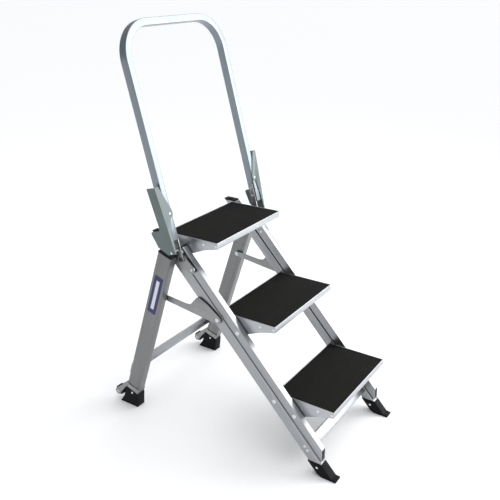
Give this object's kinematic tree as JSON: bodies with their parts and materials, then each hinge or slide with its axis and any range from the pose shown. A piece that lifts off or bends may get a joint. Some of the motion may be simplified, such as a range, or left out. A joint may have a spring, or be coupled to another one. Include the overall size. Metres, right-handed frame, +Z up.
{
  "type": "step stool",
  "caption": "Folding step ladder stool with rubber-topped treads between paired rails, hinged rear legs on small wheels, gusset links and a tall handrail hoop.",
  "frame": {"origin": "On the floor, under the middle of the open stool's footprint box: midway between the two sides, and midway between the toes of the front feet and the back of the wheels", "axes": "+X to the climber's right, +Y the way the climber goes up, from the bottom tread to the rear legs, +Z up"},
  "size_m": [0.5416, 0.8956, 1.3378],
  "materials": {
    "rail_aluminium": "extruded, satin mill finish",
    "tread_aluminium": "satin mill finish",
    "leg_aluminium": "extruded, satin mill finish",
    "handrail_aluminium": "satin anodised",
    "bracket_steel": "grey-green satin paint",
    "zinc_steel": "zinc plated",
    "black_steel": "black, satin",
    "bolt_steel": "zinc plated, turned heads",
    "washer_plastic": "natural nylon",
    "rivet_aluminium": "bright",
    "foot_rubber": "moulded, matt",
    "mat_rubber": "ribbed, slightly dusty",
    "cap_plastic": "moulded",
    "wheel_tyre": "solid rubber",
    "wheel_plastic": "moulded grey",
    "label_film": "plain film label"
  },
  "bodies": {
    "base_frame": {"lower_rail_left": "rail_aluminium", "lower_rail_right": "rail_aluminium", "lower_rail_plugs": "cap_plastic", "front_foot_left": "foot_rubber", "front_foot_right": "foot_rubber", "front_foot_screws": "bolt_steel", "front_cross_bar": "rail_aluminium", "front_cross_bar_rivets": "rivet_aluminium", "rear_pivot_bolts": "bolt_steel", "rear_pivot_washers": "washer_plastic"},
    "bottom_tread": {"tread_bottom": "tread_aluminium", "mat_bottom": "mat_rubber", "tread_rivets_bottom": "rivet_aluminium"},
    "middle_tread": {"tread_middle": "tread_aluminium", "mat_middle": "mat_rubber", "tread_rivets_middle": "rivet_aluminium"},
    "top_tread": {"tread_top": "tread_aluminium", "mat_top": "mat_rubber", "tread_rivets_top": "rivet_aluminium"},
    "upper_frame": {"upper_rail_left": "rail_aluminium", "upper_rail_right": "rail_aluminium", "upper_rail_plugs": "cap_plastic", "front_pivot_bolts": "bolt_steel", "front_pivot_washers": "washer_plastic", "hinge_plate_left": "zinc_steel", "hinge_plate_right": "zinc_steel", "hinge_plate_spacers": "zinc_steel", "hinge_plate_rivets": "rivet_aluminium", "handrail_pivot_bolts": "black_steel", "leg_pivot_bolts": "bolt_steel", "leg_pivot_washers": "washer_plastic"},
    "rear_frame": {"rear_leg_left": "leg_aluminium", "rear_leg_right": "leg_aluminium", "leg_cap_left": "cap_plastic", "leg_cap_right": "cap_plastic", "rear_foot_left": "foot_rubber", "rear_foot_right": "foot_rubber", "rear_foot_rivets": "rivet_aluminium", "rear_cross_brace": "leg_aluminium", "rear_brace_rivets": "rivet_aluminium", "label_plate": "label_film", "wheel_bracket_left": "zinc_steel", "wheel_bracket_right": "zinc_steel", "wheel_axles": "zinc_steel"},
    "left_wheel": {"wheel_hub_left": "wheel_plastic", "wheel_tyre_left": "wheel_tyre"},
    "right_wheel": {"wheel_hub_right": "wheel_plastic", "wheel_tyre_right": "wheel_tyre"},
    "links": {"link_left": "zinc_steel", "link_right": "zinc_steel", "link_end_pins": "zinc_steel"},
    "handrail": {"handrail_hoop": "handrail_aluminium", "handrail_bracket_left": "bracket_steel", "handrail_bracket_right": "bracket_steel", "handrail_strap_left": "zinc_steel", "handrail_strap_right": "zinc_steel", "handrail_spacers": "zinc_steel", "handrail_bolts": "rivet_aluminium"}
  },
  "joints": [
    {"name": "tread_fold", "type": "hinge", "parent": "base_frame", "child": "middle_tread", "pos_m": [0, -0.01596, 0.445], "axis": [-1, 0, 0], "range_deg": [0, 132.12]},
    {"name": "bottom_tread_fold", "type": "hinge", "parent": "base_frame", "child": "bottom_tread", "pos_m": [0, -0.22396, 0.215], "axis": [-1, 0, 0], "range_deg": [0, 132.12]},
    {"name": "top_tread_fold", "type": "hinge", "parent": "base_frame", "child": "top_tread", "pos_m": [0, 0.19204, 0.675], "axis": [-1, 0, 0], "range_deg": [0, 132.12]},
    {"name": "upper_rail_swing", "type": "hinge", "parent": "middle_tread", "child": "upper_frame", "pos_m": [0, -0.08696, 0.415], "axis": [1, 0, 0], "range_deg": [0, 132.12]},
    {"name": "rear_leg_swing", "type": "hinge", "parent": "upper_frame", "child": "rear_frame", "pos_m": [0, 0.15179, 0.61936], "axis": [-1, 0, 0], "range_deg": [0, 61.52]},
    {"name": "link_swing", "type": "hinge", "parent": "base_frame", "child": "links", "pos_m": [0, -0.01596, 0.445], "axis": [1, 0, 0], "range_deg": [0, 37.67]},
    {"name": "handrail_swing", "type": "hinge", "parent": "upper_frame", "child": "handrail", "pos_m": [0, 0.11174, 0.62577], "axis": [-1, 0, 0], "range_deg": [0, 28.12]},
    {"name": "left_wheel_spin", "type": "hinge", "parent": "rear_frame", "child": "left_wheel", "pos_m": [-0.234, 0.42983, 0.037], "axis": [1, 0, 0], "continuous": true},
    {"name": "right_wheel_spin", "type": "hinge", "parent": "rear_frame", "child": "right_wheel", "pos_m": [0.234, 0.42983, 0.037], "axis": [1, 0, 0], "continuous": true}
  ],
  "couplings": [
    {"joint": "bottom_tread_fold", "follows": "tread_fold", "ratio": 1},
    {"joint": "top_tread_fold", "follows": "tread_fold", "ratio": 1},
    {"joint": "upper_rail_swing", "follows": "tread_fold", "ratio": 1},
    {"joint": "rear_leg_swing", "follows": "tread_fold", "ratio": 0.46566},
    {"joint": "link_swing", "follows": "tread_fold", "ratio": 0.28512},
    {"joint": "handrail_swing", "follows": "tread_fold", "ratio": 0.21287}
  ]
}
